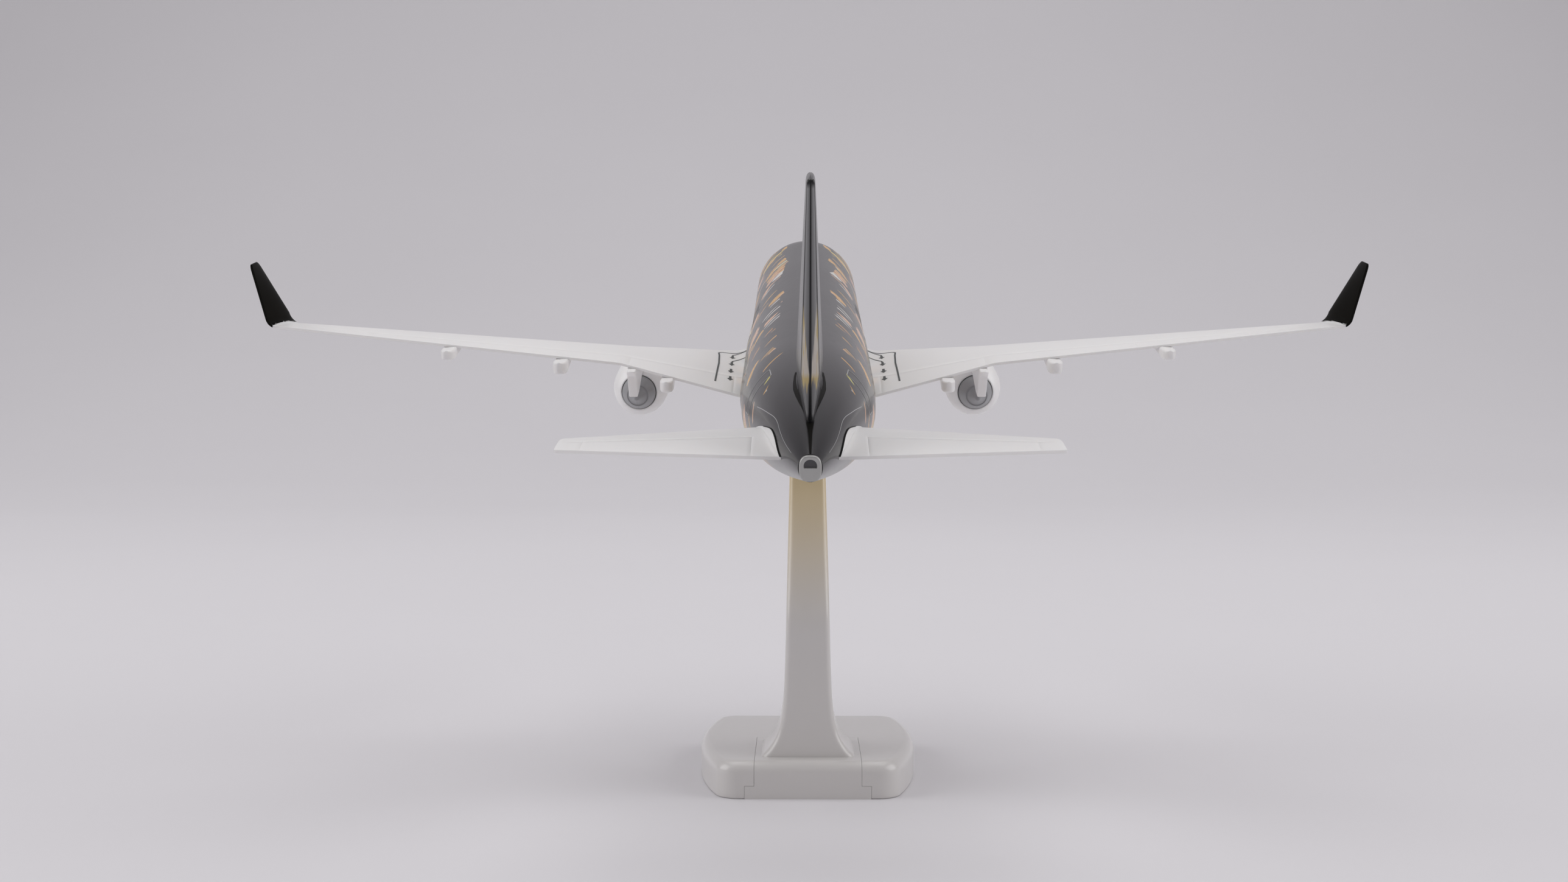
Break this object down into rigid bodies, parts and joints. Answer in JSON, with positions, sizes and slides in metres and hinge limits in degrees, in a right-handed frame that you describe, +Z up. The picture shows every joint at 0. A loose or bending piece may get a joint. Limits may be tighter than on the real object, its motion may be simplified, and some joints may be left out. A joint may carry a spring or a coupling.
{
  "type": "model airliner",
  "caption": "Snap-together desk model of a twin-engined airliner with upturned wingtips, climbing nose-up on the curved arm of a plastic display stand",
  "frame": {"origin": "middle of the stand base's underside, on the surface it stands on", "axes": "+Z up, +Y the way the nose points and along the aircraft's length, +X the way its right wing points; left and right mirror each other across X = 0"},
  "size_m": [0.1764, 0.1901, 0.0946],
  "materials": {
    "white_plastic": "semi-gloss",
    "black_gloss": "gloss",
    "grey_plastic": "satin",
    "silver_paint": "metallic silver"
  },
  "bodies": {
    "base": {"stand_base": "white_plastic"},
    "arm": {"stand_arm": "white_plastic"},
    "aircraft": {"fuselage_left_half": "black_gloss", "fuselage_right_half": "black_gloss", "tail_outlet": "silver_paint", "left_wing": "white_plastic", "right_wing": "white_plastic", "left_winglet": "black_gloss", "right_winglet": "black_gloss", "left_flap_fairings": "white_plastic", "right_flap_fairings": "white_plastic", "left_tailplane": "white_plastic", "right_tailplane": "white_plastic", "left_pylon": "white_plastic", "right_pylon": "white_plastic", "left_nacelle": "white_plastic", "right_nacelle": "white_plastic", "left_intake_lip": "silver_paint", "right_intake_lip": "silver_paint", "left_fan": "grey_plastic", "right_fan": "grey_plastic", "left_exhaust": "grey_plastic", "right_exhaust": "grey_plastic"}
  },
  "joints": [
    {"name": "arm_slide", "type": "slide", "parent": "base", "child": "arm", "axis": [0, -1, 0], "range_m": [0, 0.023]},
    {"name": "aircraft_lift", "type": "slide", "parent": "arm", "child": "aircraft", "axis": [0, -0.2122, 0.9772], "range_m": [0, 0.03]}
  ]
}
